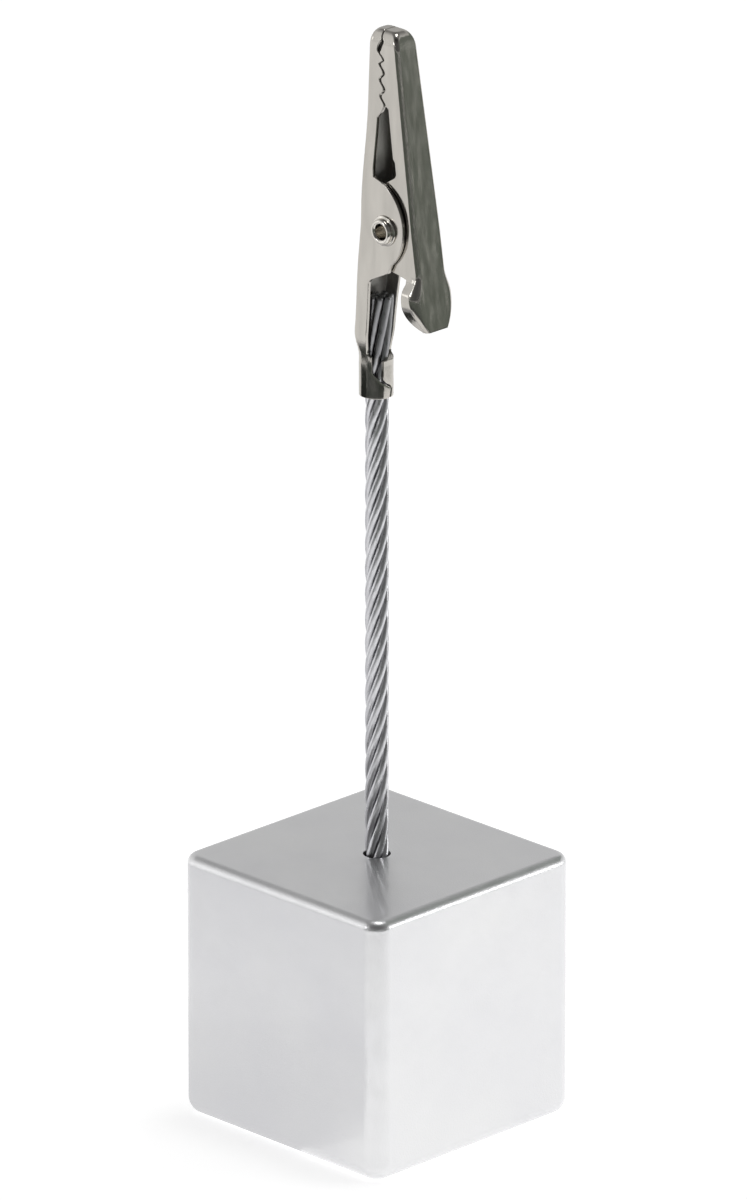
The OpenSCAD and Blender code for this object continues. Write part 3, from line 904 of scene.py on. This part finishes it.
def leg_angle(reach):
    """Lean of a spring's leg that ends a reach away from the pivot's height line."""
    foot = SPRING_R * math.cos(math.asin(reach / (SPRING_LEG + 2 * SPRING_R)))
    return math.degrees(math.atan((reach - foot) / SPRING_LEG))


def make_spring(material):
    """Torsion spring round the rivet, with one leg on the tail's back and one on the lever's."""
    fixed_leg = leg_angle(PIVOT.x - fixed_back(-SPRING_LEG) - SHEET - SPRING_SEAT)
    moving_leg = leg_angle(moving_back(-SPRING_LEG) - SHEET - SPRING_SEAT - PIVOT.x)
    start = 180 - fixed_leg
    turn = 360 * SPRING_TURNS + start - moving_leg
    coil = []
    for k in range(SPRING_STEPS + 1):
        c, s = polar(SPRING_R, start - turn * k / SPRING_STEPS)
        coil.append(PIVOT + Vector((c, SPRING_HALF * (2 * k / SPRING_STEPS - 1), s)))
    legs = []
    for root, angle in ((coil[0], 270 - fixed_leg), (coil[-1], 270 + moving_leg)):
        c, s = polar(SPRING_LEG, angle)
        tip = root + Vector((c, 0, s))
        legs.append([tip, tip.lerp(root, 0.5)])
    bm = bmesh.new()
    tube(bm, legs[0] + coil + legs[1][::-1], SPRING_WIRE / 2, SPRING_SIDES)
    spring = piece_from("torsion_spring", bm, [material], sharp=60)
    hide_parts("jaw_spring")
    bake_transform(spring)


# Studio

CAMERA_AZIMUTH = 45
CAMERA_ELEVATION = 22.05
CAMERA_DISTANCE = 1250
PHOTO_WIDTH = 747
PHOTO_HEIGHT = 1200
PIXELS_PER_MM = 11.15
BLOCK_MIDDLE_PIXEL = (376.9, 982.7)
SENSOR_HEIGHT = 36

# Floor, cards and lights have their sizes in metres
FLOOR_SIZE = 10
FLOOR_CELLS = 8
FLOOR_GLOW = 0.6
FLAG_STEPS = 32
LYING = (0.0005, 0.0005)
LYING_LOWER = (0.0001, 0.0001)

# Cards that only the metal reflects: name, turns about Z, distances and heights of both edges, colour
CARDS = [
    # On the floor at the left, for the block's left face, the crimp and the rope
    ("near_card", (-178, -80), (0.0105, 0.04), LYING_LOWER, (0.76, 0.76, 0.77)),
    ("left_card", (-178, -100), (0.04, 0.08), LYING, (0.88, 0.88, 0.89)),
    ("rope_card", (-178, -100), (0.08, 0.12), LYING, (0.44, 0.44, 0.46)),
    # Beside the rope, for the dark facet of the crimp
    ("crimp_flag", (-150, -112), (0.0075, 0.0075), (0.064, 0.0694), (0.03, 0.033, 0.03)),
    # On the floor in front and at the right, for the dark stripes of the rope and the clip's right face
    ("rope_flag", (-118, 5), (0.135, 0.188), LYING, (0.11, 0.115, 0.115)),
    ("front_flag", (-118, 5), (0.188, 0.235), LYING, (0.045, 0.05, 0.044)),
    ("far_flag", (-118, 5), (0.235, 2.5), LYING, (0.135, 0.15, 0.135)),
    ("right_flag", (5, 80), (0.215, 2.5), LYING, (0.165, 0.185, 0.162)),
    # Standing behind at the right, for the clip's nose
    ("nose_flag", (15, 105), (0.15, 0.15), (0.09, 0.2), (0.2, 0.22, 0.2)),
]

# Area lights: name, direction from the block's foot, distance, width, height and radiance
SOFTBOXES = [
    ("top_softbox", (0.05, 0.1, 1), 1.1, 0.32, 0.32, 7),
    ("right_softbox", (0.686, 0.71, 0.158), 1.0, 0.45, 0.16, 4.5),
    ("left_softbox", (-0.352, -0.871, 0.342), 1.0, 0.2, 0.16, 6),
    ("pad_softbox", (-0.79, -0.596, 0.139), 1.0, 0.25, 0.12, 1.2),
]

# Grey levels of the room, as pairs of a position and a level: across it, up it and towards the camera
WALL_STOPS = [(0, 0.95), (0.2, 0.7), (0.5, 0.57), (0.8, 0.74), (1, 0.92)]
CEILING_STOPS = [(0.55, 1), (0.76, 0.35)]
FRONT_STOPS = [(0.55, 1), (0.74, 0.18)]


def add_camera():
    """Camera at the photograph's angle; the scale in pixels is that at the block's middle."""
    c, s = polar(1, CAMERA_AZIMUTH)
    rise = math.radians(CAMERA_ELEVATION)
    back = Vector((s * math.cos(rise), -c * math.cos(rise), math.sin(rise)))
    right = Vector((c, s, 0))
    up = back.cross(right)
    focal_pixels = PIXELS_PER_MM * CAMERA_DISTANCE
    middle_x, middle_y = BLOCK_MIDDLE_PIXEL
    aim = right * (PHOTO_WIDTH / 2 - middle_x) + up * (middle_y - PHOTO_HEIGHT / 2) - back * focal_pixels
    data = bpy.data.cameras.new("camera")
    data.sensor_fit = "VERTICAL"
    data.sensor_height = SENSOR_HEIGHT
    data.lens = focal_pixels * SENSOR_HEIGHT / PHOTO_HEIGHT
    data.clip_start = 0.01
    camera = add_object("camera", data)
    camera.location = (Vector((0, 0, BLOCK_HEIGHT / 2)) + back * CAMERA_DISTANCE) * MM
    camera.rotation_euler = aim.to_track_quat("-Z", "Y").to_euler()
    bpy.context.scene.camera = camera


def add_softbox(name, direction, distance, width, height, radiance):
    """Area light of an even radiance, aimed at the block's foot."""
    light = bpy.data.lights.new(name, "AREA")
    light.shape = "RECTANGLE"
    light.size = width
    light.size_y = height
    light.energy = radiance * math.pi * width * height
    softbox = add_object(name, light)
    softbox.location = Vector(direction).normalized() * distance
    softbox.rotation_euler = Vector(direction).to_track_quat("Z", "Y").to_euler()


def gradient(tree, value, stops):
    """Grey levels at stops along a value."""
    colours = tree.nodes.new("ShaderNodeValToRGB")
    elements = colours.color_ramp.elements
    for position, level in stops[1:-1]:
        elements.new(position)
    for element, (position, level) in zip(elements, stops):
        element.position = position
        element.color = (level, level, level, 1)
    tree.links.new(value, colours.inputs["Fac"])
    return colours.outputs["Color"]


def share_along(tree, vector, direction):
    """Share from 0 to 1 of a vector of length 1 along a level direction."""
    along = tree.nodes.new("ShaderNodeVectorMath")
    along.operation = "DOT_PRODUCT"
    along.inputs[1].default_value = Vector(direction).normalized() / 2
    tree.links.new(vector, along.inputs[0])
    middle = tree.nodes.new("ShaderNodeMath")
    middle.inputs[1].default_value = 0.5
    tree.links.new(along.outputs["Value"], middle.inputs[0])
    return middle.outputs["Value"]


def add_world():
    """Pale walls at both sides, a darker one behind, and a dark ceiling and a dark wall behind the camera."""
    world = bpy.data.worlds.new("studio")
    bpy.context.scene.world = world
    world.use_nodes = True
    tree = world.node_tree
    place = tree.nodes.new("ShaderNodeTexCoord")
    parts = tree.nodes.new("ShaderNodeSeparateXYZ")
    tree.links.new(place.outputs["Generated"], parts.inputs["Vector"])
    walls = gradient(tree, share_along(tree, place.outputs["Generated"], (1, 1, 0)), WALL_STOPS)
    ceiling = gradient(tree, parts.outputs["Z"], CEILING_STOPS)
    front = gradient(tree, share_along(tree, place.outputs["Generated"], (1, -1, 0)), FRONT_STOPS)
    room = multiplied(tree, multiplied(tree, walls, ceiling), front)
    tree.links.new(room, tree.nodes["Background"].inputs["Color"])


def floor_material():
    """White floor that shows lit white to the camera and in reflections, and keeps the shadow."""
    material, shader = surface("white_floor", (0.86, 0.86, 0.86), 0, 0.9)
    shader.inputs["Specular IOR Level"].default_value = 0
    tree = material.node_tree
    clouds = noise(material, (0.004, 0.004, 0.004))
    vary_colour(material, shader, clouds, (0.85, 0.85, 0.85), (0.87, 0.87, 0.87))
    rays = tree.nodes.new("ShaderNodeLightPath")
    seen = rays.outputs["Is Camera Ray"]
    for kind in ("Is Glossy Ray", "Is Transmission Ray"):
        either = tree.nodes.new("ShaderNodeMath")
        either.operation = "MAXIMUM"
        tree.links.new(seen, either.inputs[0])
        tree.links.new(rays.outputs[kind], either.inputs[1])
        seen = either.outputs["Value"]
    share = tree.nodes.new("ShaderNodeMath")
    share.operation = "MULTIPLY"
    share.inputs[1].default_value = FLOOR_GLOW
    tree.links.new(seen, share.inputs[0])
    shader.inputs["Emission Color"].default_value = (1, 1, 1, 1)
    tree.links.new(share.outputs["Value"], shader.inputs["Emission Strength"])
    return material


def add_floor():
    """Level floor under the block."""
    bm = bmesh.new()
    bmesh.ops.create_grid(bm, x_segments=FLOOR_CELLS, y_segments=FLOOR_CELLS, size=FLOOR_SIZE / 2)
    mesh = bpy.data.meshes.new("floor")
    bm.to_mesh(mesh)
    bm.free()
    mesh.materials.append(floor_material())
    floor = add_object("floor", mesh)


def add_flag(name, turns, radii, heights, colour):
    """Card between two turns, with the distances and heights of its edges; only reflections show it."""
    material = bpy.data.materials.new(name)
    material.use_nodes = True
    tree = material.node_tree
    tree.nodes.clear()
    glow = tree.nodes.new("ShaderNodeEmission")
    glow.inputs["Color"].default_value = (*colour, 1)
    output = tree.nodes.new("ShaderNodeOutputMaterial")
    tree.links.new(glow.outputs["Emission"], output.inputs["Surface"])
    bm = bmesh.new()
    columns = []
    for i in range(FLAG_STEPS + 1):
        x, y = polar(1, turns[0] + (turns[1] - turns[0]) * i / FLAG_STEPS)
        columns.append([bm.verts.new((r * x, r * y, z)) for r, z in zip(radii, heights)])
    for first, second in zip(columns, columns[1:]):
        bm.faces.new((first[0], first[1], second[1], second[0]))
    mesh = bpy.data.meshes.new(name)
    bm.to_mesh(mesh)
    bm.free()
    mesh.materials.append(material)
    flag = add_object(name, mesh)
    flag.visible_camera = False
    flag.visible_diffuse = False
    flag.visible_shadow = False
    flag.visible_transmission = False


def make_studio():
    """Camera, room, floor, cards and lights."""
    bpy.context.scene.view_settings.view_transform = "Standard"
    add_camera()
    add_world()
    add_floor()
    for card in CARDS:
        add_flag(*card)
    for softbox in SOFTBOXES:
        add_softbox(*softbox)


make_studio()
make_block(satin_aluminium())
make_rope(rope_wire())
make_jaws([nickel_plate("nickel_plate", (0.46, 0.44, 0.405), (0.53, 0.507, 0.468)), dull_nickel()])
make_rivet(bright_nickel("bright_nickel", (0.62, 0.595, 0.55), (0.72, 0.69, 0.64)))
make_spring(drawn_wire("spring_wire", (0.32, 0.32, 0.33), (0.45, 0.45, 0.46)))
dress_bond(set_adhesive())
